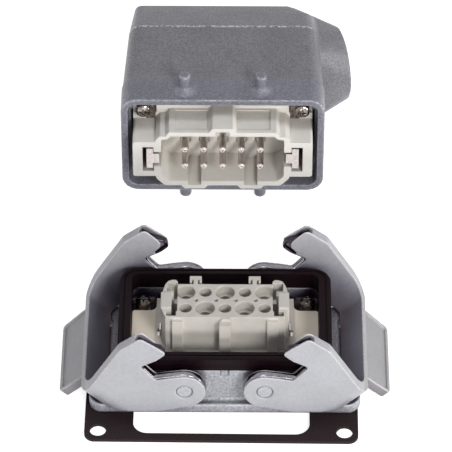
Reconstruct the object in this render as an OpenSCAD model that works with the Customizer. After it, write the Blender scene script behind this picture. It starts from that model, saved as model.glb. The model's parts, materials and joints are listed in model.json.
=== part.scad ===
// Heavy duty rectangular connector, ten poles and earth, with two locking levers.
// A bulkhead housing carries the socket insert; a hood with side cable entry carries the pin insert.
// The hood lies unplugged behind the housing, its mouth towards the housing.
// Origin: centre of the four flange holes, on the flange's underside. X runs along the connector.

/* [Housing] */
// Thickness of the wall at the housing's ends
end_wall = 3.7; // [3.2:0.1:4.2]
// Thickness of the wall at the housing's sides
side_wall = 2.3; // [2:0.1:2.8]
// Height of the cast wall above the flange's underside
wall_top = 17.9; // [16:0.1:20]
// Distance of the panel holes beyond the wall's ends
hole_outset = 5; // [4.5:0.1:6]
// Spacing of the panel holes along Y
panel_hole_dy = 32; // [30:0.5:34]
// Diameter of the panel holes
panel_hole_d = 4.6; // [4.2:0.1:5]
// Distance of the flange's ends beyond the panel holes
flange_margin = 5; // [4:0.1:6]
// Distance of the flange's long edges beyond the wall
flange_lip = 2.8; // [2:0.1:3.2]
// Thickness of the mounting flange
flange_thick = 4; // [3:0.5:4.5]
// Height of the rubber frame above the cast wall
seal_height = 6.6; // [5:0.1:7]
// Depth by which the plugged hood presses the rubber frame
seal_squeeze = 1.7; // [1:0.1:2]
// Distance by which the rubber frame's top stands over the wall's long sides
seal_flare = 0.7; // [0:0.1:1]

/* [Levers] */
// Distance of each pivot pin from the middle, along X
pivot_x = 13.6; // [13:0.1:14]
// Height of the pivot pins above the flange's underside
pivot_z = 14.4; // [14:0.1:15]
// Diameter of the pivot pins
pivot_d = 5.2; // [4.5:0.1:5.6]
// Radial play of a lever on its pin
pivot_play = 0.05; // [0.02:0.01:0.1]
// Angle by which each lever is swung open
open_angle = 45; // [45:1:46]
// Distance of a lever's arms from the housing's sides
arm_gap = 3.1; // [2.6:0.1:3.5]
// Thickness of a lever's arm
arm_thick = 4; // [3.5:0.1:4.2]
// Radius of the arm's round end
arm_end_r = 7.1; // [6.5:0.1:7.5]
// Length of the finger tab beyond the lever's wall
tab_length = 11.6; // [8:0.2:13]
// Width of the finger tab at its root
tab_width = 34; // [30:0.5:36]

/* [Inserts] */
// Spacing of the contacts along X
pole_pitch = 6.75; // [6.6:0.05:6.8]
// Spacing of the two rows of contacts
row_pitch = 7.8; // [7.5:0.1:8]
// Distance of the fixing screws beyond the last contacts, along X
fix_outset_x = 15; // [14.5:0.1:15.5]
// Distance of the fixing screws beyond the rows of contacts, along Y
fix_outset_y = 9.6; // [9.4:0.1:10]
// Height of the socket insert's end plates above the flange's underside
plate_top = 14.9; // [14:0.1:15]
// Height of the socket block's top above the flange's underside
block_top = 30.3; // [29:0.1:30.5]
// Diameter of the contact pins
pin_d = 2.5; // [2.3:0.1:2.6]

/* [Hood] */
// Height of the hood, rim to top
hood_height = 60; // [58:0.5:61]
// Distance that the pin insert's shroud stands out of the rim
shroud_out = 7.4; // [7:0.1:7.5]
// Distance of the locking pegs behind the rim
peg_back = 6; // [5.8:0.1:6.2]
// Diameter of the locking pegs
peg_d = 4.3; // [4:0.1:4.4]
// Thickness of the hood's wall at the rim
rim_wall = 2.5; // [2.2:0.1:2.8]
// Diameter of the cable entry's boss
entry_d = 27; // [26:0.2:28]
// Diameter of the cable entry's bore, cut with an M20 thread
entry_bore_d = 18.5; // [18:0.1:19]
// Tilt of the cable entry towards the hood's top
entry_tilt = 14; // [10:1:16]

/* [Lying place] */
// Distance of the hood's rim behind the middle of the housing
hood_y = 83; // [80:1:95]
// Offset of the hood's middle along X
hood_x = -1.4; // [-2:0.1:2]
// Thickness of the flange gasket
gasket_thick = 1.2; // [1:0.1:2]
// Distance by which the loose gasket lies in front of its place
gasket_shift_y = 16.7; // [16.5:0.1:17.5]
// Distance by which the loose gasket lies to the left of its place
gasket_shift_x = 1; // [0:0.5:1]
// Angle by which the loose gasket lies askew
gasket_turn = 0.4; // [0:0.1:1]

/* [Hidden] */
$fn = 48;
hood_colour = "#7f828b";
lever_colour = "#b9bec4";
die_cast_colour = "#a6aab0";
rubber_colour = "#17111a";
insert_colour = "#cbc8c1";
silver_colour = "#d9dadc";
steel_colour = "#5c5a60";
nickel_colour = "#b9b2ae";

poles = 5;                                  // contacts in a row
far = 200;                                  // longer than any cut
pole_x = [for (i = [0 : poles - 1]) (i - (poles - 1) / 2) * pole_pitch];
fix_dx = (poles - 1) * pole_pitch + 2 * fix_outset_x;
fix_dy = row_pitch + 2 * fix_outset_y;

// earth plates, washers and screws, the same in both inserts
earth_thick = 1.2;
washer_thick = 0.8;
washer_r = 2.5;
head_height = 3;
head_r = 2.6;
dome_r = 4;
screw_r = 1.6;
screw_hole_r = screw_r + 0.4;
screw_length = 9;
ear_top = plate_top - washer_thick;         // top of the socket insert's earth plates

// inserts
insert_half = fix_dx / 2 + 3.7;
insert_depth_half = fix_dy / 2 + 3.3;
core_half = fix_dx / 2 - 4.7;               // half length of the insert between its end plates
ear_y = fix_dy / 2 - washer_r - 0.2;        // the earth plate's ears begin here
ear_gap = 0.1;                              // between an ear and the end plate
bar_x = [fix_dx / 2 - 4.3, fix_dx / 2 - 0.9];   // the earth plate's bar, inside the end plate
block_half = fix_dx / 2 - 6.9;
spring_x = block_half + 0.45;               // inner side of the earth springs
socket_bottom = 0.6;
lug_rise = 0.7;
key_x = 1.5 * pole_pitch;                   // middle of each key at the back

// housing, from the insert outwards
end_play = 0.6;                             // between the insert and the wall
side_play = 2.4;
opening_length = 2 * (insert_half + end_play);
opening_depth = 2 * (insert_depth_half + side_play);
opening_r = 2.4;
body_length = opening_length + 2 * end_wall;
body_depth = opening_depth + 2 * side_wall;
body_r = 6;
panel_hole_dx = body_length + 2 * hole_outset;
flange_length = panel_hole_dx + 2 * flange_margin;
flange_depth = body_depth + 2 * flange_lip;
flange_r = 5;
throat_length = opening_length - 4.6;       // inside of the flange
throat_depth = opening_depth - 2.4;
throat_height = flange_thick + 1.6;
post_half = 3.9;                            // half side of the corner posts
tapped_r = 1.65;                            // M4 core
seal_top = wall_top + seal_height;
rim_rest = seal_top - seal_squeeze;         // the hood's rim rests here when plugged
boss_r = wall_top - pivot_z - 0.1;          // round each pivot pin, below the rubber frame
boss_gap = 0.3;                             // between boss and arm

// pin insert, measured from the hood's rim, up towards the hood's top
shroud_front = -shroud_out;
cavity_half = block_half + 0.4;
floor_z = block_top - rim_rest + 0.8;
tip_z = shroud_front + 0.3;
male_ear_z = 6;
blade_half = 4.6;                           // half width of the earth blades
panel_depth = 0.4;
male_back = 25;
across_x = body_length / 2 - 11;            // the hood's top slopes down to the entry from here

// contacts
barrel_r = 2.0;
clamp_r = 2.6;
seat_gap = 0.05;
wire_r = 1.4;
clamp_screw_r = 1.5;
wide_mouth_r = 3.35;
small_mouth_r = 2.2;
barrel_top = block_top - 6;
barrel_foot = 8;
socket_screw_z = socket_bottom + 3.6;       // height of the clamp screws
pin_screw_z = male_back - 4.6;

// levers, drawn locked: o runs outwards from the pin, t upwards
arm_in = body_depth / 2 + arm_gap;
arm_out = arm_in + arm_thick;
peg_length = arm_gap + arm_thick - 0.1;     // of the hood's locking pegs
peg_t = rim_rest + peg_back - pivot_z;      // a locking peg when plugged
wall_in = body_length / 2 - pivot_x + 2.3;
wall_out = wall_in + 2.8;
wall_t = peg_t + 7.9;
foot = 13.15;                               // o less t along the lever's bottom, level when open
corner_r = 9;
tab_thick = 3.6;
tab_t = [wall_t - tab_thick - 0.6, wall_t - 0.6];
tab_rim = 1.2;
tab_recess = 0.7;
strip_thick = 1;
strip_rise = 0.4;                           // by which the strip stands out of the arm's end
strip_end = 224;                            // direction in which the strip ends, round the pin
strip_width = 2.6;
slot_mid = (arm_in + arm_out) / 2;

// ---- outlines ----

function unit(v) = v / norm(v);
function wrapped(a) = a > 180 ? a - 360 : a < -180 ? a + 360 : a;

// Arc of radius r that rounds the corner b between a and c
function corner_arc(a, b, c, r, n) = r == 0 ? [b] :
    let (d1 = unit(a - b), d2 = unit(c - b), h = acos(d1 * d2) / 2,
        m = b + unit(d1 + d2) * r / sin(h), s = b + d1 * r / tan(h) - m, e = b + d2 * r / tan(h) - m,
        a0 = atan2(s[1], s[0]), turn = wrapped(atan2(e[1], e[0]) - a0))
    [for (i = [0 : n]) m + r * [cos(a0 + turn * i / n), sin(a0 + turn * i / n)]];

// Closed outline through corners [x, y, radius]
function rounded(p, n = 6) = let (k = len(p), q = [for (c = p) [c[0], c[1]]])
    [for (i = [0 : k - 1]) each corner_arc(q[(i + k - 1) % k], q[i], q[(i + 1) % k], p[i][2], n)];

// Open line through corners [x, y, radius], its ends kept
function rounded_line(p, n = 5) = let (k = len(p), q = [for (c = p) [c[0], c[1]]])
    concat([q[0]], [for (i = [1 : k - 2]) each corner_arc(q[i - 1], q[i], q[i + 1], p[i][2], n)],
        [q[k - 1]]);

// Direction across a line at its point i
function across(p, i) = let (k = len(p) - 1, d = p[min(i + 1, k)] - p[max(i - 1, 0)], u = unit(d))
    [-u[1], u[0]];

// Line set off to the left by a distance, run backwards
function beside(p, d) = [for (i = [len(p) - 1 : -1 : 0]) p[i] + d * across(p, i)];

module rounded_plate(length, depth, r) {
    square([length - 2 * r, depth], center = true);
    square([length, depth - 2 * r], center = true);
    for (x = [-1, 1], y = [-1, 1])
        translate([x * (length / 2 - r), y * (depth / 2 - r)])
            circle(r);
}

module rounded_block(length, depth, r, z0, z1) {
    translate([0, 0, z0])
        linear_extrude(z1 - z0)
            rounded_plate(length, depth, r);
}

module box(x0, x1, y0, y1, z0, z1) {
    translate([x0, y0, z0])
        cube([x1 - x0, y1 - y0, z1 - z0]);
}

// Children at both ends or both sides
module both_x() {
    children();
    mirror([1, 0, 0]) children();
}

module both_y() {
    children();
    mirror([0, 1, 0]) children();
}

module at_fixings() {
    for (x = [-1, 1], y = [-1, 1])
        translate([x * fix_dx / 2, y * fix_dy / 2, 0])
            children();
}

module at_pole(n) {
    translate([pole_x[(n - 1) % poles], (n > poles ? 0.5 : -0.5) * row_pitch, 0])
        children();
}

module at_poles() {
    for (n = [1 : 2 * poles])
        at_pole(n) children();
}

// ---- bulkhead housing ----

module housing_shell() {
    color(die_cast_colour) {
        difference() {
            union() {
                rounded_block(flange_length, flange_depth, flange_r, 0, flange_thick);
                rounded_block(body_length, body_depth, body_r, 0, wall_top);
                both_x() both_y()
                    translate([pivot_x, body_depth / 2 - 1, pivot_z])
                        rotate([-90, 0, 0])
                            cylinder(r = boss_r, h = arm_in - boss_gap - body_depth / 2 + 1);
            }
            rounded_block(opening_length, opening_depth, opening_r, throat_height, far);
            rounded_block(throat_length, throat_depth, opening_r, -1, far);
            for (x = [-1, 1], y = [-1, 1])
                translate([x * panel_hole_dx / 2, y * panel_hole_dy / 2, -1])
                    cylinder(d = panel_hole_d, h = flange_thick + 2);
            both_x() both_y() pivot_bore(pivot_d / 2);
            both_y() box(-1.6, 1.6, body_depth / 2 - 1, far, wall_top - 3, wall_top + 1);
        }
        both_x() both_y() housing_post();
    }
}

// Blind bore in the wall for a pivot pin
module pivot_bore(r) {
    translate([pivot_x, opening_depth / 2 + 0.8, pivot_z])
        rotate([-90, 0, 0])
            cylinder(r = r, h = far);
}

// Corner post under an earth plate's ear
module housing_post() {
    difference() {
        box(fix_dx / 2 - post_half, opening_length / 2 + 0.5, ear_y + 0.4, opening_depth / 2 + 0.5,
            0, ear_top - earth_thick);
        translate([fix_dx / 2, fix_dy / 2, 2.5])
            cylinder(r = tapped_r, h = far);
    }
}

module housing_seal() {
    foot_top = wall_top + 1;
    lip_depth = body_depth + 2 * seal_flare;
    color(rubber_colour)
        difference() {
            union() {
                hull() {
                    slab(body_length, body_depth, body_r, foot_top);
                    slab(body_length, lip_depth, body_r, seal_top - 0.8);
                }
                rounded_block(body_length, body_depth, body_r, wall_top, foot_top + 0.01);
                rounded_block(body_length - 0.8, lip_depth - 0.8, body_r - 0.4, foot_top, seal_top);
            }
            rounded_block(opening_length - 1, opening_depth, opening_r + 0.6, wall_top - 1, far);
            // shallow groove round the middle of the frame's top
            difference() {
                rounded_block(body_length - end_wall + 0.6, body_depth - seal_flare, body_r - 1.2,
                    seal_top - 0.5, far);
                rounded_block(body_length - end_wall - 0.6, body_depth - seal_flare - 1.2, body_r - 1.8,
                    wall_top, far);
            }
        }
}

module flange_gasket() {
    hole_dx = panel_hole_dx + 1;                // cut wide of the flange's own holes
    length = hole_dx + 9.4;
    depth = panel_hole_dy + 9;
    color("#2a1d20")
        translate([-gasket_shift_x, -gasket_shift_y, -gasket_thick])
            rotate([0, 0, -gasket_turn])
                difference() {
                    rounded_block(length, depth, 3.5, 0, gasket_thick);
                    rounded_block(throat_length - 0.8, depth - 6.4, 5, -1, far);
                    for (x = [-1, 1], y = [-1, 1])
                        translate([x * hole_dx / 2, y * panel_hole_dy / 2, -1])
                            cylinder(d = 5.6, h = far);
                }
}

// ---- locking levers ----

// Side view of an arm with the wall, in the o, t plane
function arm_outline() = rounded([
    [2.2, -6.9, 0], [foot - 0.3, -0.3, 5], [wall_out, wall_out - foot, 1],
    [wall_out, wall_t, 1], [1.8, peg_t + 14.8, 2.5], [-7.4, peg_t + 13.7, 1.8],
    [-8.3, peg_t + 6.8, 4], [-8.6, peg_t + 2.6, 1], [-4, peg_t + 2.7, 4], [2, peg_t + 4.5, 1],
    [2.8, peg_t - 3.7, 1.2], [-0.6, peg_t - 6, 4], [-4.1, 5.8, 0]]);

// Part of the inner cheek that is cut back round the nose
function nose_cut() = [[-2.6, peg_t - 4], [-2.6, peg_t + 4], [-5.6, peg_t + 4.2],
    [-7, peg_t + 5.2], [-7.5, peg_t + 7], [-7.6, peg_t + 11.6], [-far, peg_t + 11.6],
    [-far, peg_t - 4]];

// Outside of the spring strip, as an open line: nose, hook, notch and round the arm's end
function strip_line() = concat(
    rounded_line([[-6, peg_t + 12.7, 0], [-6.6, peg_t + 8.8, 5], [-8.8, peg_t + 4.8, 1.8],
        [-8, peg_t + 1.7, 1.6], [-3.8, peg_t + 1.9, 6], [1.9, peg_t + 3.6, 0.8],
        [2.7, peg_t - 3.1, 1.4], [-0.7, peg_t - 5.5, 4], (arm_end_r + strip_rise) * [cos(126), sin(126)]]),
    [for (a = [133 : 7 : strip_end]) (arm_end_r + strip_rise) * [cos(a), sin(a)]]);

module lever_plan(half, reach, r) {
    translate([-12, -half])
        square([12 + reach - r, 2 * half]);
    translate([0, -half + r])
        square([reach, 2 * (half - r)]);
    for (s = [-1, 1])
        translate([reach - r, s * (half - r)])
            circle(r);
}

// Extrudes a side view over y0 to y1, with o along +X and t along +Z
module side_prism(y0, y1) {
    translate([0, y1, 0])
        rotate([90, 0, 0])
            linear_extrude(y1 - y0)
                children();
}

// Slot in an arm that the spring strip lies in, open at the nose, the notch and the arm's end
module strip_slot() {
    line = beside(strip_line(), strip_thick);
    top = line[len(line) - 1][0];
    side_prism(slot_mid - strip_width / 2, slot_mid + strip_width / 2)
        polygon(concat(line, [[top, far], [-far, far], far * [cos(strip_end), sin(strip_end)]]));
}

module lever() {
    color(lever_colour)
        difference() {
            union() {
                intersection() {
                    side_prism(-arm_out, arm_out) {
                        polygon(arm_outline());
                        circle(arm_end_r);
                    }
                    difference() {
                        translate([0, 0, -far / 2])
                            linear_extrude(far)
                                lever_plan(arm_out, wall_out, corner_r);
                        translate([0, 0, -far])
                            linear_extrude(2 * far)
                                lever_plan(arm_in, wall_in, corner_r - 3);
                    }
                }
                finger_tab();
            }
            rotate([90, 0, 0])
                cylinder(d = pivot_d + 2 * pivot_play, h = far, center = true);
            both_y()
                translate([0, arm_out - 0.4, 0])
                    rotate([-90, 0, 0])
                        cylinder(d = pivot_d + 0.9, h = 1);
            both_y() strip_slot();
            both_y()
                side_prism(arm_in - 1, slot_mid)
                    polygon(nose_cut());
        }
}

// Tab for the finger, with a sunk panel on top
module finger_tab() {
    tip = wall_out + tab_length;
    root = tab_width / 2;
    end = root - 1.1;
    difference() {
        translate([0, 0, tab_t[0]])
            linear_extrude(tab_t[1] - tab_t[0])
                polygon(rounded([[wall_in + 1, -root, 0], [tip, -end, 1.4], [tip, end, 1.4],
                    [wall_in + 1, root, 0]]));
        translate([0, 0, tab_t[1] - tab_recess])
            linear_extrude(far)
                polygon(rounded([[wall_out + 0.2, tab_rim - root, 0.4], [tip - tab_rim, tab_rim - end, 0.6],
                    [tip - tab_rim, end - tab_rim, 0.6], [wall_out + 0.2, root - tab_rim, 0.4]]));
    }
}

module lever_spring() {
    color(steel_colour)
        side_prism(slot_mid - strip_width / 2, slot_mid + strip_width / 2)
            polygon(concat(strip_line(), beside(strip_line(), strip_thick)));
}

// Puts a part drawn for the right lever, locked, at its pin and swings it open
module placed_right() {
    translate([pivot_x, 0, pivot_z])
        rotate([0, open_angle, 0])
            children();
}

module placed_left() {
    mirror([1, 0, 0]) placed_right() children();
}

module pivot_pin() {
    color(silver_colour)
        translate([pivot_x, opening_depth / 2 + 0.8, pivot_z])
            rotate([-90, 0, 0])
                difference() {
                    cylinder(d = pivot_d, h = arm_out - 0.3 - opening_depth / 2 - 0.8);
                    translate([0, 0, arm_out - 0.6 - opening_depth / 2 - 0.8])
                        difference() {
                            cylinder(d = pivot_d + 1, h = 1);
                            translate([0, 0, -1])
                                cylinder(d1 = pivot_d + 1, d2 = pivot_d - 0.8, h = 1.8);
                        }
                }
}

// ---- socket insert, in the housing ----

module socket_insert() {
    lug_x = block_half - 3.3;
    color(insert_colour)
        difference() {
            union() {
                box(-core_half, core_half, -insert_depth_half, insert_depth_half, socket_bottom, plate_top);
                rounded_block(2 * insert_half, 2 * ear_y, 1, 6, plate_top);
                translate([0, 0, plate_top - 1])
                    linear_extrude(block_top - plate_top + 1)
                        polygon(concat(block_half_outline(1), block_half_outline(-1)));
                both_x() {
                    both_y() plate_fillet();
                    box(lug_x, block_half + 0.3, -4.2, 3.2, plate_top, block_top + lug_rise);
                    box(lug_x - 3.9, lug_x - 0.3, -9.8, -8, plate_top, block_top - 1);
                    t_rib();
                }
                box(-1.9, 1.9, -11.8, -8, plate_top, block_top - 1);
                box(-1.2, 1.9, -9.4, -8, plate_top, block_top);
            }
            for (n = [1 : 2 * poles])
                at_pole(n) socket_bore((n > poles) == ((n - 1) % poles % 2 == 0));
            // keying holes between the rows
            for (i = [0 : poles - 2])
                translate([pole_x[i] + pole_pitch / 2 + 0.3, 0, block_top - 9])
                    cylinder(d = 1.4, h = far);
            both_x() {
                box(lug_x - 2, lug_x, -5.4, 2.3, block_top - 12, far);
                box(lug_x - 2, lug_x + 1.6, 4.5, 8.4, block_top - 8, far);
                box(lug_x - 2, lug_x - 0.7, 2.2, 4.6, block_top - 4, far);
                box(lug_x - 1.6, lug_x + 1.7, -7.6, -5.4, block_top - 6, far);
                box(bar_x[0], bar_x[1], -ear_y - 1, ear_y + 1, ear_top - earth_thick, ear_top);
                box(spring_x - 0.05, bar_x[0] - 0.9, -1.7, 1.7, ear_top - earth_thick, far);
                box(spring_x - 0.05, bar_x[0] + 0.2, -1.7, 1.7, ear_top - earth_thick, ear_top);
            }
            terminal_access(socket_screw_z);
        }
}

// Half of the mating block's outline, at the +X or -X end, in turning order
function block_half_outline(side) = let (e = block_half, p = [[e - 1.3, -8.4], [e, -4.6],
        [e, 3.4], [e - 1, 7.6], [e - 2, 9.4], [e - 3.4, 10], [e - 4.6, 10], [e - 5.3, 9.2],
        [e - 5.4, 7.9]])
    side > 0 ? p : [for (i = [len(p) - 1 : -1 : 0]) [-p[i][0], p[i][1]]];

// Hollow that rounds the end plate's corner beside a fixing screw, above the earth plate
module plate_fillet() {
    r = 2.2;
    x = core_half - 0.5;
    y = ear_y - 0.5;
    translate([0, 0, ear_top])
        linear_extrude(washer_thick)
            polygon(concat([[x, y + 0.5 + r], [x, y], [x + 0.5 + r, y]],
                [for (a = [270 : -15 : 180]) [core_half + r, ear_y + r] + r * [cos(a), sin(a)]]));
}

// T-shaped guide rib at the back of the block
module t_rib() {
    x = key_x;
    box(x - 0.75, x + 0.75, 7.5, 11, plate_top, block_top);
    box(x - 2.05, x + 2.05, 10.3, 11.9, plate_top, block_top);
    box(x - 2.05, x - 1.35, 8.9, 10.5, plate_top, block_top);
    box(x + 1.35, x + 2.05, 8.9, 10.5, plate_top, block_top);
}

// Stepped hole for one contact: mouth, barrel and clamp
module socket_bore(wide) {
    mouth = wide ? wide_mouth_r : small_mouth_r;
    translate([0, 0, wide ? block_top - 4 : barrel_top])
        cylinder(r = mouth, h = far);
    translate([0, 0, barrel_top])
        cylinder(r = small_mouth_r, h = far);
    translate([0, 0, barrel_foot])
        cylinder(r = barrel_r + seat_gap, h = far);
    translate([0, 0, -far / 2])
        cylinder(r = clamp_r + seat_gap, h = far / 2 + barrel_foot);
}

// Holes for the screwdriver, from both long sides to the clamps
module terminal_access(z) {
    for (x = pole_x)
        both_y()
            translate([x, row_pitch / 2, z])
                rotate([-90, 0, 0])
                    cylinder(r = clamp_screw_r + seat_gap, h = far);
}

module socket_contact(n) {
    color(silver_colour)
        at_pole(n)
            difference() {
                union() {
                    translate([0, 0, barrel_foot - 1])
                        cylinder(r = barrel_r, h = barrel_top - barrel_foot + 1);
                    translate([0, 0, socket_bottom + 0.2])
                        cylinder(r = clamp_r, h = barrel_foot - socket_bottom - 0.2);
                }
                translate([0, 0, 12])
                    cylinder(d = pin_d + 0.1, h = far);
                translate([0, 0, -1])
                    cylinder(r = wire_r, h = 7.6);
                clamp_screw_hole(n, socket_screw_z);
                box(-0.2, 0.2, -far, far, 15, far);
            }
}

module clamp_screw_hole(n, z) {
    translate([0, 0, z])
        rotate([n > poles ? -90 : 90, 0, 0])
            cylinder(r = clamp_screw_r, h = far);
}

// Slotted clamp screws of one insert, one for each contact
module terminal_screws(z) {
    inner = row_pitch / 2 + wire_r + 0.1;
    color(nickel_colour)
        for (x = pole_x)
            both_y()
                translate([x, inner, z])
                    rotate([-90, 0, 0])
                        difference() {
                            cylinder(r = clamp_screw_r, h = 4.4);
                            box(-far, far, -0.25, 0.25, 3.7, far);
                        }
}

// Earth plate at the +X end: two ears joined by a bar inside the insert's end plate
module earth_plate(top) {
    color(nickel_colour)
        translate([0, 0, top - earth_thick])
            linear_extrude(earth_thick)
                difference() {
                    translate([bar_x[0], -insert_depth_half])
                        square([insert_half - bar_x[0], 2 * insert_depth_half]);
                    translate([bar_x[1], -ear_y - ear_gap])
                        square([far, 2 * (ear_y + ear_gap)]);
                    for (s = [-1, 1])
                        translate([fix_dx / 2, s * fix_dy / 2])
                            circle(screw_hole_r);
                }
}

// Strip beside the block that meets the pin insert's earth blade
module earth_spring() {
    color(silver_colour) {
        box(spring_x, spring_x + 0.5, -1.6, 1.6, ear_top - earth_thick, plate_top + 3);
        box(spring_x, bar_x[0], -1.6, 1.6, ear_top - earth_thick, ear_top);
    }
}

module washers(z) {
    color(nickel_colour)
        at_fixings()
            translate([0, 0, z])
                difference() {
                    cylinder(r = washer_r, h = washer_thick);
                    translate([0, 0, -1])
                        cylinder(r = screw_hole_r, h = far);
                }
}

// Pan head screw with a cross, its head's underside at z = 0
module pan_screw() {
    color(nickel_colour) {
        translate([0, 0, -screw_length])
            cylinder(r = screw_r, h = screw_length + 0.2);
        difference() {
            intersection() {
                cylinder(r = head_r, h = head_height);
                translate([0, 0, head_height - dome_r])
                    sphere(r = dome_r);
            }
            for (a = [0, 90])
                rotate([0, 0, a])
                    box(-1.55, 1.55, -0.4, 0.4, head_height - 1.5, far);
        }
    }
}

// ---- hood, drawn plugged: rim at z = 0, top upwards ----

// Children drawn plugged are laid on the hood's back side, mouth towards the housing
module laid() {
    translate([hood_x, hood_y, body_depth / 2 + peg_length - gasket_thick])
        rotate([-90, 0, 0])
            children();
}

// Thin rounded slab, for the hulls of the hood
module slab(length, depth, r, z) {
    translate([0, 0, z])
        linear_extrude(0.01)
            rounded_plate(length, depth, r);
}

module hood_shell() {
    collar = 12.6;
    ridge = hood_height - 17.5;
    shoulder = hood_height - 6;
    top_end = body_length / 2 - 3.6;            // where the flat top ends, away from the entry
    color(hood_colour)
        difference() {
            union() {
                rounded_block(body_length, body_depth, body_r, 0, collar);
                hull() {
                    slab(body_length - 0.6, body_depth - 0.6, body_r - 0.3, collar - 0.01);
                    slab(body_length - 3.6, body_depth - 1.4, body_r - 1, ridge);
                    slab(body_length - 5.4, body_depth - 7, body_r - 1, shoulder);
                    translate([(across_x - top_end) / 2, 0, 0])
                        slab(across_x + top_end, body_depth - 10.4, body_r - 3.4, hood_height - 0.01);
                }
                hull() {
                    across_end(body_depth / 2 - 1.7, ridge - 12.5, ridge);
                    across_end(body_depth / 2 - 5.8, ridge, hood_height - 0.1);
                    at_entry(-4) cylinder(d = entry_d, h = 4);
                }
                both_x() both_y() locking_peg();
            }
            rounded_block(body_length - 2 * rim_wall, body_depth - 2 * rim_wall, body_r - rim_wall,
                -1, male_ear_z + earth_thick);
            difference() {
                hull() {
                    slab(opening_length + 0.6, opening_depth + 1, 3, male_ear_z + earth_thick - 0.2);
                    slab(body_length - 11, opening_depth, 3, ridge);
                    slab(body_length - 18, body_depth - 18, 3, hood_height - 3.5);
                }
                both_x() both_y() hood_post();
            }
            at_entry(-26) cylinder(d = entry_bore_d, h = far);
        }
}

// Moves children to the cable entry's face, with +Z along its axis, out of the hood
module at_entry(z) {
    translate([body_length / 2 + 7.3, 0, hood_height - 13.1])
        rotate([0, 90 - entry_tilt, 0])
            translate([0, 0, z])
                children();
}

// Thin plate across the hood's end, for the hull of the entry's boss
module across_end(half, z0, z1) {
    box(across_x - 1, across_x, -half, half, z0, z1);
}

module locking_peg() {
    translate([pivot_x, body_depth / 2 - 0.5, peg_back])
        rotate([-90, 0, 0]) {
            cylinder(d = peg_d, h = peg_length + 0.5 - 0.3);
            cylinder(d = peg_d - 0.6, h = peg_length + 0.5);
            translate([0, 0, 0.5])
                cylinder(r1 = 4.1, r2 = peg_d / 2, h = 1.9);
        }
}

// Corner post inside the hood, behind an earth plate's ear
module hood_post() {
    difference() {
        box(fix_dx / 2 - post_half, far, ear_y + 0.4, far, male_ear_z + earth_thick, 18);
        translate([fix_dx / 2, fix_dy / 2, 0])
            cylinder(r = tapped_r, h = 16);
    }
}

// ---- pin insert, in the hood ----

// Outer outline of the shroud, front (one key) at -Y and back (two keys) at +Y
function shroud_half(side) = let (c = cavity_half, k = key_x, p = rounded_line([[3.6, -14.5, 0],
        [4.9, -12.7, 0], [c - 2.8, -12.7, 0], [c - 1.6, -10.8, 0], [c + 0.4, -10.8, 0], [c + 2, -9, 0.8],
        [c + 2, 9, 2], [c - 1.2, 12.5, 2], [k + 4.8, 12.5, 0], [k + 3.6, 14, 0.6], [k - 3.6, 14, 0.6],
        [k - 4.8, 12.5, 0]], 3))
    side > 0 ? p : [for (i = [len(p) - 1 : -1 : 0]) [-p[i][0], p[i][1]]];

// Inner outline of the shroud
function cavity_outline_half(side) = let (c = cavity_half, k = key_x, p = rounded_line([[2.5, -12.9, 0],
        [2.5, -10.9, 0], [c - 3.4, -10.9, 0], [c - 2.4, -9.6, 0], [c, -9.2, 0.6], [c, 8.2, 2],
        [c - 2.6, 10.5, 2], [k + 2.4, 10.5, 0], [k + 2.4, 12.4, 0], [k - 2.4, 12.4, 0],
        [k - 2.4, 10.5, 0]], 3))
    side > 0 ? p : [for (i = [len(p) - 1 : -1 : 0]) [-p[i][0], p[i][1]]];

module pin_insert() {
    color(insert_colour)
        difference() {
            union() {
                translate([0, 0, shroud_front])
                    linear_extrude(male_back - shroud_front)
                        polygon(concat(shroud_half(1), shroud_half(-1)));
                box(-core_half, core_half, -insert_depth_half, insert_depth_half, male_ear_z, male_back);
                both_x() {
                    translate([0, 0, shroud_front])
                        linear_extrude(male_ear_z - shroud_front)
                            polygon(rounded([[core_half - 1, -8.1, 0], [insert_half, -8.1, 1],
                                [insert_half, 8.1, 1], [core_half - 1, 8.1, 0]]));
                    box(core_half - 1, insert_half, -ear_y, ear_y, male_ear_z, 12);
                }
            }
            translate([0, 0, -far + floor_z])
                linear_extrude(far)
                    polygon(concat(cavity_outline_half(1), cavity_outline_half(-1)));
            both_x() {
                // sunk label panel on the shroud, left bare
                box(key_x - 4.9, key_x + 6.9, -far, panel_depth - 12.7, shroud_front + 1.8, male_ear_z - 1);
                box(bar_x[0] + 0.5, bar_x[1] + 1.1, -blade_half - 1.1, blade_half + 1.1, -far, male_ear_z);
                box(cavity_half - 1, bar_x[0] + 0.6, -3.4, 3.4, -far, male_ear_z);
                box(bar_x[0], bar_x[1], -ear_y - 1, ear_y + 1, male_ear_z, male_ear_z + earth_thick);
            }
            at_poles() {
                translate([0, 0, 6])
                    cylinder(r = barrel_r + seat_gap, h = far);
                translate([0, 0, 14])
                    cylinder(r = clamp_r + seat_gap, h = far);
            }
            terminal_access(pin_screw_z);
        }
}

module pin_contact(n) {
    color(silver_colour)
        at_pole(n)
            difference() {
                union() {
                    translate([0, 0, tip_z + 0.5])
                        cylinder(d = pin_d, h = 14 - tip_z);
                    translate([0, 0, tip_z])
                        cylinder(d1 = pin_d - 1, d2 = pin_d, h = 0.5);
                    translate([0, 0, floor_z])
                        cylinder(r = barrel_r, h = 15 - floor_z);
                    translate([0, 0, 14])
                        cylinder(r = clamp_r, h = male_back - 14.3);
                }
                translate([0, 0, tip_z - 1])
                    cylinder(d = 0.7, h = 1.8);
                translate([0, 0, male_back - 8])
                    cylinder(r = wire_r, h = far);
                clamp_screw_hole(n, pin_screw_z);
            }
}

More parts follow.
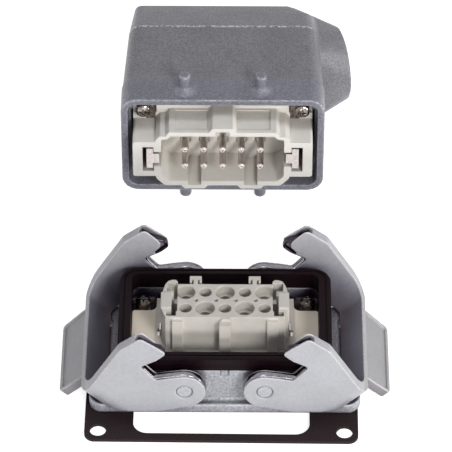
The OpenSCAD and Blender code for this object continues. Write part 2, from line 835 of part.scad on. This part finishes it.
// T-shaped earth blade in the insert's end slot
module earth_blade() {
    color(silver_colour) {
        box(bar_x[0] + 0.7, bar_x[1] - 0.3, -blade_half, blade_half, shroud_front + 0.5, male_ear_z);
        box(bar_x[0] - 1.5, bar_x[0] + 0.8, -2.2, 2.2, shroud_front + 0.5, male_ear_z);
    }
}

housing_shell();
housing_seal();
flange_gasket();
placed_left() lever();  // lever_left
placed_right() lever();  // lever_right
for (s = ["left", "right"], y = ["front", "back"]) {
    turn = y == "front" ? 1 : 0;
    mirror([s == "left" ? 1 : 0, 0, 0])
            placed_right()
                mirror([0, turn, 0]) lever_spring();
    mirror([s == "left" ? 1 : 0, 0, 0])
            mirror([0, turn, 0]) pivot_pin();
}
socket_insert();
for (s = ["left", "right"]) {
    end = s == "left" ? 1 : 0;
    mirror([end, 0, 0]) earth_plate(ear_top);
    mirror([end, 0, 0]) earth_spring();
    laid() mirror([end, 0, 0]) earth_plate(male_ear_z + earth_thick);
    laid() mirror([end, 0, 0]) earth_blade();
}
at_fixings() translate([0, 0, ear_top + washer_thick]) pan_screw();  // socket_fixing_screws
washers(ear_top);  // socket_fixing_washers
terminal_screws(socket_screw_z);  // socket_terminal_screws
laid() hood_shell();
laid() pin_insert();
laid() at_fixings() translate([0, 0, male_ear_z - washer_thick]) rotate([180, 0, 0]) pan_screw();  // pin_fixing_screws
laid() washers(male_ear_z - washer_thick);  // pin_fixing_washers
laid() terminal_screws(pin_screw_z);  // pin_terminal_screws
for (n = [1 : 2 * poles]) {
    socket_contact(n);
    laid() pin_contact(n);
}
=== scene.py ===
import json
import math
import bmesh
import bpy
import numpy as np
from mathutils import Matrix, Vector


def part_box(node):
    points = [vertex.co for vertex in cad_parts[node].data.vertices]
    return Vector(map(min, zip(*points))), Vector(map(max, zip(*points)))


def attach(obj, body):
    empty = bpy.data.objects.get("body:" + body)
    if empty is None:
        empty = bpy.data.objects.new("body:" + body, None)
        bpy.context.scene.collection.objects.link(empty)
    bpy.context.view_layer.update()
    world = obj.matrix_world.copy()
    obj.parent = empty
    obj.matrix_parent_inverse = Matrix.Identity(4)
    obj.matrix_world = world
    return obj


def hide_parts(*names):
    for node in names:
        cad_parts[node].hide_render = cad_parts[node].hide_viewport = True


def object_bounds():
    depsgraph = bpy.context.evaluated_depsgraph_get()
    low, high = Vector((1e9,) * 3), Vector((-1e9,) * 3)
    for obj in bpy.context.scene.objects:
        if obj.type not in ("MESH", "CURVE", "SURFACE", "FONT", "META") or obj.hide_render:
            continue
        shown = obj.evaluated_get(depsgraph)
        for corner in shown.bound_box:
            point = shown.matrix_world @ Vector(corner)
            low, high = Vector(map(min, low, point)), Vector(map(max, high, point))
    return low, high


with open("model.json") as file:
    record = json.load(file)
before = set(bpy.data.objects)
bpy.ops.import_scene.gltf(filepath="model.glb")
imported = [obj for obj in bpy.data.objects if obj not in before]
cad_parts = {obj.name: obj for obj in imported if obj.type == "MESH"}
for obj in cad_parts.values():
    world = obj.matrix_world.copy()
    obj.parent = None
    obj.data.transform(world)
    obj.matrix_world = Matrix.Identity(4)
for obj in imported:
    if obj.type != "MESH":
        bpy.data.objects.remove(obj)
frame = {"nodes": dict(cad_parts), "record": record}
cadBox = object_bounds()
nodes = frame["nodes"]
scene = bpy.context.scene
mm = 0.001
slotOf = {part["node"]: part["material_slot"] for part in frame["record"]["subparts"]}
print("frame:", len(nodes), "nodes")


# Small tools

def linear(hexColour):
    # sRGB hex to linear: a power of 2.4 above a short straight foot
    c = np.array([int(hexColour[i:i + 2], 16) for i in (1, 3, 5)]) / 255
    c = np.where(c <= 0.04045, c / 12.92, ((c + 0.055) / 1.055) ** 2.4)
    return tuple(float(v) for v in c) + (1.0,)


def addNode(tree, kind, settings=None, links=None):
    # settings are attributes or socket values, links are sockets, both by name or number
    node = tree.nodes.new(kind)
    for name, value in (settings or {}).items():
        if isinstance(name, str) and hasattr(node, name):
            setattr(node, name, value)
        else:
            node.inputs[name].default_value = value
    for name, socket in (links or {}).items():
        tree.links.new(socket, node.inputs[name])
    return node


def newMaterial(name):
    material = bpy.data.materials.new(name)
    material.use_nodes = True
    material.node_tree.nodes.clear()
    return material, material.node_tree


def closeMaterial(tree, shader):
    addNode(tree, "ShaderNodeOutputMaterial", links={"Surface": shader.outputs[0]})


def noiseAt(tree, grain, detail=2.0, rough=0.5):
    # noise over the object's own metres, with blobs of about the grain's size in mm
    place = addNode(tree, "ShaderNodeTexCoord")
    settings = {"Scale": 1 / (grain * mm), "Detail": detail, "Roughness": rough}
    return addNode(tree, "ShaderNodeTexNoise", settings, {"Vector": place.outputs["Object"]})


def ramp(tree, socket, low, high, colours):
    # colours spread evenly between low and high
    node = addNode(tree, "ShaderNodeValToRGB", links={"Fac": socket})
    stops = node.color_ramp.elements
    while len(stops) < len(colours):
        stops.new(0.5)
    for i, colour in enumerate(colours):
        stops[i].position = low + (high - low) * i / (len(colours) - 1)
        stops[i].color = linear(colour)
    return node


def blend(tree, kind, factor, first, second):
    # factor is a number or a socket, first and second are sockets or hex colours
    node = addNode(tree, "ShaderNodeMix", {"data_type": "RGBA", "blend_type": kind})
    for slot, value in ((0, factor), (6, first), (7, second)):
        if isinstance(value, str):
            node.inputs[slot].default_value = linear(value)
        elif isinstance(value, float):
            node.inputs[slot].default_value = value
        else:
            tree.links.new(value, node.inputs[slot])
    return node.outputs[2]


def band(tree, axis, low, high, soft):
    # 1 between two heights along an axis of the object, in metres, with soft ends
    place = addNode(tree, "ShaderNodeTexCoord")
    split = addNode(tree, "ShaderNodeSeparateXYZ", links={0: place.outputs["Object"]})
    rise = addNode(tree, "ShaderNodeMapRange", {1: low - soft, 2: low + soft}, {0: split.outputs[axis]})
    fall = addNode(tree, "ShaderNodeMapRange", {1: high - soft, 2: high + soft, 3: 1.0, 4: 0.0},
                   {0: split.outputs[axis]})
    return addNode(tree, "ShaderNodeMath", {"operation": "MULTIPLY"},
                   {0: rise.outputs[0], 1: fall.outputs[0]})


def paintedRecessShade(tree, look, colour):
    # painted shade: recesses are darkened by the ambient occlusion they get, as if shade fell there
    recess = addNode(tree, "ShaderNodeAmbientOcclusion", {"samples": 8, "Distance": look["reach"] * mm})
    recessShade = ramp(tree, recess.outputs["AO"], look["deepFrom"], look["deepTo"], look["deep"])
    return blend(tree, "MULTIPLY", 1.0, colour, recessShade.outputs["Color"])


# Finishes

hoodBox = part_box("hood_shell")
rimY, topY = hoodBox[0].y, hoodBox[1].y
collarY, ridgeY = rimY + 12.6 * mm, topY - 17.5 * mm


def powderCoat(name, look):
    # Baked powder coat on die-cast aluminium: a pebbled skin that scatters the highlight into
    # sparkles; its sharp edges are painted paler, partly as coat worn thin and partly as painted highlight.
    material, tree = newMaterial(name)
    peel = noiseAt(tree, look["grain"], 3.0, 0.65)
    patch = noiseAt(tree, 11.0)
    body = ramp(tree, peel.outputs["Fac"], 0.34, 0.66, look["body"])
    tone = ramp(tree, patch.outputs["Fac"], 0.35, 0.65, [look["shade"], "#ffffff"])
    colour = blend(tree, "MULTIPLY", 1.0, body.outputs["Color"], tone.outputs["Color"])
    if look.get("hood"):
        # the tapered walls above the collar are a shade warmer, and a thin darker line, painted shade, marks
        # the step that parts the two
        walls = band(tree, "Y", collarY, topY + 0.01, 0.05 * mm)
        step = band(tree, "Y", collarY - 0.12 * mm, collarY + 0.12 * mm, 0.08 * mm)
        colour = blend(tree, "MULTIPLY", walls.outputs[0], colour, look["walls"])
        colour = blend(tree, "MULTIPLY", step.outputs[0], colour, look["step"])
    if "tab" in look:
        # the finger tabs beyond the webs are painted a little darker and warmer
        between = band(tree, "X", -47.5 * mm, 47.5 * mm, 0.3 * mm)
        tint = blend(tree, "MIX", between.outputs[0], look["tab"], "#ffffff")
        colour = blend(tree, "MULTIPLY", 1.0, colour, tint)
    # painted highlight mixed with wear: sharp bends of the skin are painted paler, broken into speckles
    bent = addNode(tree, "ShaderNodeAttribute", {"attribute_name": "bend"})
    wornAndLitEdge = ramp(tree, bent.outputs["Fac"], look["edgeFrom"], look["edgeTo"], ["#000000", "#ffffff"])
    edgeSpeckles = ramp(tree, noiseAt(tree, 1.1).outputs["Fac"], 0.4, 0.6, [look["speckleColour"], "#ffffff"])
    edgeHighlightMask = blend(tree, "MULTIPLY", 1.0, wornAndLitEdge.outputs["Color"], edgeSpeckles.outputs["Color"])
    colour = blend(tree, "MIX", edgeHighlightMask, colour, look["edge"])
    if look.get("hood"):
        # a speckled pale line along the ridge, up to the ridge length in x: painted highlight, mixed with
        # wear to bare metal
        ridge = band(tree, "Y", ridgeY - 0.55 * mm, ridgeY + 0.55 * mm, 0.2 * mm)
        spots = ramp(tree, noiseAt(tree, 0.9).outputs["Fac"], 0.42, 0.56, ["#000000", "#ffffff"])
        straight = band(tree, "X", hoodBox[0].x - 0.01, hoodBox[0].x + look["ridge"] * mm, 0.3 * mm)
        ridgeWearAndHighlight = blend(tree, "MULTIPLY", 1.0, ridge.outputs[0], spots.outputs["Color"])
        ridgeWearAndHighlight = blend(tree, "MULTIPLY", 1.0, ridgeWearAndHighlight, straight.outputs[0])
        colour = blend(tree, "MIX", ridgeWearAndHighlight, colour, "#dcdee2")
    if "deep" in look:
        colour = paintedRecessShade(tree, look, colour)
    bump = addNode(tree, "ShaderNodeBump", {"Strength": look["bump"], "Distance": 0.15 * mm},
                   {"Height": peel.outputs["Fac"]})
    shader = addNode(tree, "ShaderNodeBsdfPrincipled", {"Roughness": look["roughness"], "IOR": 1.5},
                     {"Base Color": colour, "Normal": bump.outputs["Normal"]})
    closeMaterial(tree, shader)
    return material


def simpleFinish(name, look):
    # one body colour with a fine mottling, and edges that shade as if rounded
    material, tree = newMaterial(name)
    grain = noiseAt(tree, look["grain"])
    colour = ramp(tree, grain.outputs["Fac"], 0.3, 0.7, look["body"]).outputs["Color"]
    # painted light: the ends of the insert, down in the housing's well, are painted a paler cream, as if lit
    if "ends" in look:
        core = band(tree, "X", -look["core"] * mm, look["core"] * mm, 0.2 * mm)
        colour = blend(tree, "MIX", core.outputs[0], look["ends"], colour)
    edge = addNode(tree, "ShaderNodeBevel", {"samples": 4, "Radius": look["round"] * mm})
    if "high" in look:
        # painted reflection: the nose and the hook of a strip are painted darker, as if they mirrored dark
        # surroundings
        above = band(tree, "Z", look["level"] * mm, 1.0, 1.5 * mm)
        colour = blend(tree, "MULTIPLY", above.outputs[0], colour, look["high"])
    if "rim" in look:
        # painted highlight: moulded edges are painted paler where the rounded normal leaves the flat one
        form = addNode(tree, "ShaderNodeNewGeometry")
        meet = addNode(tree, "ShaderNodeVectorMath", {"operation": "DOT_PRODUCT"},
                       {0: edge.outputs[0], 1: form.outputs["Normal"]})
        pale = ramp(tree, meet.outputs["Value"], 0.8, 0.97, ["#ffffff", "#000000"])
        colour = blend(tree, "MIX", pale.outputs["Color"], colour, look["rim"])
    if "deep" in look:
        colour = paintedRecessShade(tree, look, colour)
    bump = addNode(tree, "ShaderNodeBump", {"Strength": look["bump"], "Distance": 0.05 * mm},
                   {"Height": grain.outputs["Fac"], "Normal": edge.outputs[0]})
    shader = addNode(tree, "ShaderNodeBsdfPrincipled",
                     {"Roughness": look["roughness"], "Metallic": look.get("metallic", 0.0),
                      "Specular IOR Level": look.get("specular", 0.5)},
                     {"Base Color": colour, "Normal": bump.outputs["Normal"]})
    closeMaterial(tree, shader)
    return material


hoodLook = {"grain": 0.6, "body": ["#696b76", "#7d7f8b", "#9193a0"], "shade": "#f0f0f0", "edge": "#d4d5dc",
            "speckleColour": "#505050", "edgeFrom": 0.05, "edgeTo": 0.24, "bump": 1.0, "roughness": 0.3, "hood": True,
            "ridge": 69, "walls": "#fefdf3", "step": "#c8c8cc"}
# the deep colours of the housing and the levers are painted shade, laid into their recesses and crevices
housingLook = {"grain": 0.8, "body": ["#90949b", "#adb1b8", "#c6cacf"], "shade": "#f0f0f0", "edge": "#d0d2d7",
               "speckleColour": "#808080", "edgeFrom": 0.05, "edgeTo": 0.2, "bump": 1.0, "roughness": 0.4, "reach": 12,
               "deepFrom": 0.22, "deepTo": 0.6, "deep": ["#2c1d34", "#7c7184", "#ffffff"]}
leverLook = {"grain": 1.2, "body": ["#aeb1b7", "#b3b6bc", "#b7bac0"], "shade": "#f6f6f6", "edge": "#dcdcde",
             "speckleColour": "#b0b0b0", "tab": "#e6e3e0", "edgeFrom": 0.05, "edgeTo": 0.2, "bump": 0.1,
             "roughness": 0.36, "reach": 24, "deepFrom": 0.08, "deepTo": 0.72,
             "deep": ["#846a6c", "#b8b4bf", "#ffffff"]}
finishes = {
    "hood_paint": powderCoat("greyPowderCoat", hoodLook),
    "housing_casting": powderCoat("lightPowderCoat", housingLook),
    "lever_casting": powderCoat("leverPowderCoat", leverLook),
    # black nitrile rubber: near black with a dull sheen
    "seal_rubber": simpleFinish("nitrileRubber", {
        "grain": 0.8, "body": ["#0f0409", "#180b12"], "bump": 0.2, "round": 0.4, "roughness": 0.5,
        "specular": 0.09}),
    # cut gasket sheet: brown-black and dusty, without a sheen
    "gasket_rubber": simpleFinish("gasketSheet", {
        "grain": 0.45, "body": ["#160d10", "#2c1e21"], "bump": 0.5, "round": 0.2, "roughness": 0.8,
        "specular": 0.3}),
    # light grey glass-filled polycarbonate: flat and slightly warm, with its ends painted paler as painted
    # light
    "insert_plastic": simpleFinish("mouldedPolycarbonate", {
        "grain": 5.0, "body": ["#cecbc4", "#d8d5ce"], "bump": 0.1, "round": 0.3, "roughness": 0.42,
        "core": 24.2, "ends": "#f4ecda", "rim": "#efece6"}),
    # silver plating: bright and mirror-like
    "silvered_contact": simpleFinish("silverPlate", {
        "grain": 1.0, "body": ["#c4bcb8", "#d8d1cd"], "bump": 0.1, "round": 0.25, "roughness": 0.16,
        "metallic": 1.0}),
    # nickel plating: a warm mirror with sharp dark and bright patches
    "nickel_plated_steel": simpleFinish("nickelPlate", {
        "grain": 0.6, "body": ["#4d4542", "#b9b1ab"], "bump": 0.6, "round": 0.25, "roughness": 0.18,
        "metallic": 1.0}),
    # polished spring steel: dark with a hard glint
    "spring_steel": simpleFinish("springSteel", {
        "grain": 0.9, "body": ["#77757c", "#95939a"], "bump": 0.1, "round": 0.45, "roughness": 0.16,
        "metallic": 1.0, "level": 26.0, "high": "#7c727c"}),
    # zinc-plated pin heads: pale and satin
    "pivot_steel": simpleFinish("zincPlate", {
        "grain": 0.7, "body": ["#a6aab0", "#b9bdc3"], "bump": 0.15, "round": 0.3, "roughness": 0.35,
        "metallic": 0.4}),
}
# the pin insert is a paler moulding, with shade gathered inside its shroud
paleInsert = simpleFinish("palePolycarbonate", {
    "grain": 5.0, "body": ["#ebeae3", "#f1f0ea"], "bump": 0.1, "round": 0.3, "roughness": 0.42,
    "rim": "#f7f6f1", "reach": 12, "deepFrom": 0.2, "deepTo": 0.6, "deep": ["#c6c2c0", "#e8e6e5", "#ffffff"]})
# screws down in the housing's well: painted nearly black as painted shade, with painted white glints on their
# edges
darkScrews = simpleFinish("shadedWellNickel", {
    "grain": 0.5, "body": ["#1d1719", "#6a5f5a"], "bump": 0.9, "round": 0.15, "roughness": 0.2,
    "metallic": 1.0, "rim": "#ffffff"})
ownFinish = {"pin_insert": paleInsert, "socket_fixing_screws": darkScrews,
             "socket_fixing_washers": darkScrews}
for name, obj in nodes.items():
    for slot in obj.material_slots:
        slot.material = ownFinish.get(name, finishes[slotOf[name]])
print("finishes:", len(finishes))


# Castings with soft edges

def cadCopy(name, node):
    # an object with a merged copy of a CAD node's triangles
    bm = bmesh.new()
    bm.from_mesh(nodes[node].data)
    bmesh.ops.remove_doubles(bm, verts=bm.verts, dist=1e-6)
    mesh = bpy.data.meshes.new(name)
    bm.to_mesh(mesh)
    bm.free()
    obj = bpy.data.objects.new(name, mesh)
    scene.collection.objects.link(obj)
    return obj


def markBends(mesh):
    # how sharply the skin turns outwards at each point: the mean fall of its neighbours below its
    # tangent plane, over their distance
    place, normal = (np.zeros(len(mesh.vertices) * 3) for _ in range(2))
    mesh.vertices.foreach_get("co", place)
    mesh.vertices.foreach_get("normal", normal)
    place, normal = place.reshape(-1, 3), normal.reshape(-1, 3)
    ends = np.zeros(len(mesh.edges) * 2, int)
    mesh.edges.foreach_get("vertices", ends)
    ends = np.concatenate([ends.reshape(-1, 2), ends.reshape(-1, 2)[:, ::-1]])
    way = place[ends[:, 1]] - place[ends[:, 0]]
    fall = -np.sum(way * normal[ends[:, 0]], 1) / np.maximum(np.linalg.norm(way, axis=1), 1e-9)
    count = np.bincount(ends[:, 0], minlength=len(place))
    bend = np.bincount(ends[:, 0], fall, len(place)) / np.maximum(count, 1)
    spread = np.bincount(ends[:, 0], bend[ends[:, 1]], len(place)) / np.maximum(count, 1)
    layer = mesh.attributes.new("bend", "FLOAT", "POINT")
    layer.data.foreach_set("value", np.clip((bend + spread) / 2, 0, 1).astype(np.float32))


castings = {
    "hoodCasting": {"node": "hood_shell", "body": "connector", "voxel": 0.46, "keep": 0.55},
    "housingCasting": {"node": "housing_shell", "body": "connector", "voxel": 0.42, "keep": 1.0},
    "leftLeverCasting": {"node": "lever_left", "body": "left_lever", "voxel": 0.285, "keep": 1.0},
    "rightLeverCasting": {"node": "lever_right", "body": "right_lever", "voxel": 0.285, "keep": 1.0},
}
relaxRounds = 2


def castSoft(name, look):
    # the CAD form as a fine skin of cells, relaxed so that its corners turn round, then thinned where flat
    node = look["node"]
    obj = cadCopy(name, node)
    skin = obj.modifiers.new("skin", "REMESH")
    skin.mode, skin.voxel_size = "VOXEL", look["voxel"] * mm
    relax = obj.modifiers.new("relax", "SMOOTH")
    relax.factor, relax.iterations = 0.5, relaxRounds
    if look["keep"] < 1:
        thin = obj.modifiers.new("thin", "DECIMATE")
        thin.ratio = look["keep"]
    shown = obj.evaluated_get(bpy.context.evaluated_depsgraph_get())
    done = bpy.data.meshes.new_from_object(shown)
    obj.modifiers.clear()
    obj.data = done
    done.polygons.foreach_set("use_smooth", np.ones(len(done.polygons), bool))
    done.materials.clear()
    done.materials.append(finishes[slotOf[node]])
    markBends(done)
    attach(obj, look["body"])
    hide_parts(node)
    done.calc_loop_triangles()
    print(name, "triangles:", len(done.loop_triangles))


for name, look in castings.items():
    castSoft(name, look)


# Spring strips, drawn in the lever's own plane: o along the lever, t up, the pin at 0,0

def rounded(points, steps=5):
    # each corner with a radius turns into an arc that touches both of its lines
    line = []
    for i, (x, y, r) in enumerate(points):
        here = np.array([x, y])
        if r == 0:
            line.append(here[None])
            continue
        before, after = (np.array(points[i + k][:2]) - here for k in (-1, 1))
        u, v = before / np.linalg.norm(before), after / np.linalg.norm(after)
        half = np.arccos(np.clip(u @ v, -1, 1)) / 2
        reach = min(r / np.tan(half), 0.48 * min(np.linalg.norm(before), np.linalg.norm(after)))
        centre = here + (u + v) / np.linalg.norm(u + v) * reach / np.cos(half)
        first, last = here + u * reach - centre, here + v * reach - centre
        turn = np.arctan2(first[0] * last[1] - first[1] * last[0], first @ last)
        angle = np.arctan2(first[1], first[0]) + turn * np.linspace(0, 1, steps + 1)
        line.append(centre + np.linalg.norm(first) * np.stack([np.cos(angle), np.sin(angle)], 1))
    return np.concatenate(line)


def evenly(line, step):
    # the same line with points at equal steps along its length
    length = np.concatenate([[0], np.cumsum(np.linalg.norm(np.diff(line, axis=0), axis=1))])
    places = np.linspace(0, length[-1], int(length[-1] / step) + 1)
    return np.stack([np.interp(places, length, line[:, k]) for k in range(line.shape[1])], 1)


def gridPiece(name, grid, caps, look):
    # a mesh from a grid of points, rows by columns by xyz, whose columns close on themselves
    rows, columns = grid.shape[:2]
    index = np.arange(rows * columns).reshape(rows, columns)
    index = np.concatenate([index, index[:, :1]], 1)
    quads = np.stack([index[:-1, :-1], index[:-1, 1:], index[1:, 1:], index[1:, :-1]], -1).reshape(-1, 4)
    faces = quads.tolist()
    if caps:
        faces += [index[0, :columns][::-1].tolist(), index[-1, :columns].tolist()]
    mesh = bpy.data.meshes.new(name)
    mesh.from_pydata((grid.reshape(-1, 3) * mm).tolist(), [], faces)
    bm = bmesh.new()
    bm.from_mesh(mesh)
    bmesh.ops.remove_doubles(bm, verts=bm.verts, dist=1e-7)
    bmesh.ops.recalc_face_normals(bm, faces=bm.faces)
    bm.to_mesh(mesh)
    bm.free()
    mesh.polygons.foreach_set("use_smooth", np.ones(len(mesh.polygons), bool))
    mesh.materials.append(finishes[look["slot"]])
    obj = bpy.data.objects.new(name, mesh)
    scene.collection.objects.link(obj)
    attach(obj, look["body"])
    return obj


strip = {"pinX": 13.6, "pinZ": 14.4, "open": 45.0, "middle": 26.6, "width": 2.6, "thick": 1.0, "rise": 0.4,
         "armEnd": 7.1, "pegT": 14.4, "end": 224, "step": 0.45, "round": 20, "flat": 0.55, "crown": 0.9}


def stripCentre():
    # round the nose, the hook and the notch, then round the arm's end about the pin
    t, r = strip["pegT"], strip["armEnd"] + strip["rise"]
    arc = np.radians(np.arange(126, strip["end"] + 1, 7))
    turn = r * np.stack([np.cos(arc), np.sin(arc)], 1)
    corners = [(-6, t + 12.7, 0), (-6.6, t + 8.8, 5), (-8.8, t + 4.8, 1.8), (-8, t + 1.7, 1.6),
               (-3.8, t + 1.9, 6), (1.9, t + 3.6, 0.8), (2.7, t - 3.1, 1.4), (-0.7, t - 5.5, 4),
               (turn[0, 0], turn[0, 1], 0)]
    outside = evenly(np.concatenate([rounded(corners), turn[1:]]), strip["step"])
    along = np.gradient(outside, axis=0)
    along /= np.linalg.norm(along, axis=1)[:, None]
    return outside, along


def springStrip(name, node, body, sideX, sideY):
    # the section is a flattened ring, crowned outside, carried along the line of the strip
    outside, along = stripCentre()
    inward = np.stack([along[:, 1], -along[:, 0]], 1)
    if np.mean(inward[-10:] * outside[-10:]) > 0:
        inward = -inward
    angle = np.linspace(0, 2 * np.pi, strip["round"], endpoint=False)
    wide = np.sign(np.cos(angle)) * np.abs(np.cos(angle)) ** strip["flat"] * strip["width"] / 2
    deep = (1 - np.sign(np.sin(angle)) * np.abs(np.sin(angle)) ** strip["crown"]) * strip["thick"] / 2
    flat = outside[:, None, :] + inward[:, None, :] * deep[None, :, None]
    turn = math.radians(strip["open"])
    x = flat[..., 0] * math.cos(turn) + flat[..., 1] * math.sin(turn) + strip["pinX"]
    z = flat[..., 1] * math.cos(turn) - flat[..., 0] * math.sin(turn) + strip["pinZ"]
    y = sideY * strip["middle"] + np.broadcast_to(wide, x.shape)
    grid = np.stack([sideX * x, y, z], -1)
    piece = gridPiece(name, grid, True, {"slot": "spring_steel", "body": body})
    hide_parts(node)


# Thread of the cable entry

thread = {"face": (42.4, 129.9, 27.3), "axis": (0.970, 0.242, 0.0), "bore": 18.5, "pitch": 1.5, "depth": 0.75,
          "length": 14.0, "start": 0.8, "leadIn": 1.2, "leadOut": 2.0, "back": 0.3, "clear": 0.02,
          "rows": 190, "columns": 64}


def entryThread():
    # a ring let into the bore's wall, whose inner radius falls and rises like a saw along a helix,
    # once each pitch
    along = np.linspace(thread["start"], thread["start"] + thread["length"], thread["rows"])[:, None]
    angle = np.linspace(0, 2 * np.pi, thread["columns"], endpoint=False)[None, :]
    phase = (along / thread["pitch"] + angle / (2 * np.pi)) % 1
    tooth = 1 - np.abs(2 * phase - 1)
    leadIn = (along - thread["start"]) / thread["leadIn"]
    leadOut = (thread["start"] + thread["length"] - along) / thread["leadOut"]
    fade = np.clip(leadIn, 0, 1) * np.clip(leadOut, 0, 1)
    radius = thread["bore"] / 2 - thread["clear"] - thread["depth"] * tooth * fade
    # the back lies inside the metal, and the first row comes again to close the ring
    back = np.full_like(radius[:1], thread["bore"] / 2 + thread["back"])
    along = np.concatenate([along, along[-1:], along[:1], along[:1]])
    radius = np.concatenate([radius, back, back, radius[:1]])
    out = np.array(thread["axis"]) / np.linalg.norm(thread["axis"])
    side = np.cross((0, 0, 1), out)
    grid = (np.array(thread["face"]) - along[..., None] * out + radius[..., None]
            * (np.cos(angle)[..., None] * side + np.sin(angle)[..., None] * np.array((0, 0, 1.0))))
    gridPiece("entryThread", grid, False, {"slot": "hood_paint", "body": "connector"})


entryThread()
for side, sideX in (("left", -1), ("right", 1)):
    for place, sideY in (("front", -1), ("back", 1)):
        spring = "lever_spring_" + side + "_" + place
        springStrip(side + place.title() + "Strip", spring, side + "_lever", sideX, sideY)
print("spring strips: 4")


# Floor, light and camera

def seenRay(tree):
    # 1 for what the camera sees, straight or in a reflection or through glass
    path = addNode(tree, "ShaderNodeLightPath")
    some = addNode(tree, "ShaderNodeMath", {"operation": "MAXIMUM"},
                   {0: path.outputs["Is Camera Ray"], 1: path.outputs["Is Glossy Ray"]})
    return addNode(tree, "ShaderNodeMath", {"operation": "MAXIMUM"},
                   {0: some.outputs[0], 1: path.outputs["Is Transmission Ray"]}).outputs[0]


def plainFloor():
    reach = 6.0
    level = cadBox[0].z - 0.05 * mm
    mesh = bpy.data.meshes.new("floorMesh")
    mesh.from_pydata([(x * reach, y * reach, level) for x, y in ((-1, -1), (1, -1), (1, 1), (-1, 1))], [],
                     [(0, 1, 2, 3)])
    floor = bpy.data.objects.new("floor", mesh)
    scene.collection.objects.link(floor)
    # white paper that shows as white to the eye and in reflections, with a faint shadow left on it
    material, tree = newMaterial("whitePaper")
    paper = addNode(tree, "ShaderNodeBsdfDiffuse", {"Color": linear("#e4e4e4")})
    lit = addNode(tree, "ShaderNodeEmission", {"Color": linear("#ffffff"), "Strength": 0.84})
    both = addNode(tree, "ShaderNodeAddShader", links={0: paper.outputs[0], 1: lit.outputs[0]})
    pick = addNode(tree, "ShaderNodeMixShader",
                   links={0: seenRay(tree), 1: paper.outputs[0], 2: both.outputs[0]})
    closeMaterial(tree, pick)
    mesh.materials.append(material)


def softLight(name, look):
    data = bpy.data.lights.new(name, "AREA")
    data.shape, data.size, data.energy = "DISK", look["size"], look["power"]
    data.color = linear(lampColour)[:3]
    lamp = bpy.data.objects.new(name, data)
    lamp.location = look["place"]
    lamp.rotation_mode = "QUATERNION"
    lamp.rotation_quaternion = (Vector(middle) - Vector(look["place"])).to_track_quat("-Z", "Y")
    scene.collection.objects.link(lamp)


def studioAir():
    # white to the eye and in reflections, and an even soft grey as a light
    world = bpy.data.worlds.new("studioAir")
    world.use_nodes = True
    tree = world.node_tree
    tree.nodes.clear()
    air = addNode(tree, "ShaderNodeBackground", {"Color": linear("#e2dcf2"), "Strength": 0.17})
    white = addNode(tree, "ShaderNodeBackground", {"Color": linear("#ffffff"), "Strength": 1.0})
    pick = addNode(tree, "ShaderNodeMixShader",
                   links={0: seenRay(tree), 1: air.outputs[0], 2: white.outputs[0]})
    addNode(tree, "ShaderNodeOutputWorld", links={"Surface": pick.outputs[0]})
    scene.world = world
    scene.view_settings.view_transform = "Standard"


def camera():
    view = {"azimuth": 0.372, "elevation": 42.79, "distance": 1.1349, "target": (0.000325, 0.0, 0.06484),
            "lens": 270.1, "sensor": 36.0}
    data = bpy.data.cameras.new("camera")
    data.lens, data.sensor_width = view["lens"], view["sensor"]
    eye = bpy.data.objects.new("camera", data)
    a, e = math.radians(view["azimuth"]), math.radians(view["elevation"])
    back = Vector((math.sin(a) * math.cos(e), -math.cos(a) * math.cos(e), math.sin(e)))
    eye.location = Vector(view["target"]) + back * view["distance"]
    eye.rotation_euler = (math.pi / 2 - e, 0, a)
    scene.collection.objects.link(eye)
    scene.camera = eye


lamps = {
    "keySoftbox": {"place": (0.45, -0.9, 0.65), "size": 0.35, "power": 7.6},
    "lowSoftbox": {"place": (-0.05, -1.15, 0.1), "size": 0.4, "power": 5.0},
    "sideSoftbox": {"place": (1.0, 0.1, 0.25), "size": 0.4, "power": 2.6},
    "bossSoftbox": {"place": (0.75, -0.5, 0.12), "size": 0.22, "power": 1.5},
    "edgeSoftbox": {"place": (-0.9, 0.5, 0.35), "size": 0.3, "power": 1.3},
    "topSoftbox": {"place": (-0.1, 0.1, 1.25), "size": 0.35, "power": 2.6},
}
middle, lampColour = (0.0, 0.05, 0.02), "#fffcf8"
for name, look in lamps.items():
    softLight(name, look)
plainFloor()
studioAir()
camera()
print("stage: floor, light, camera")
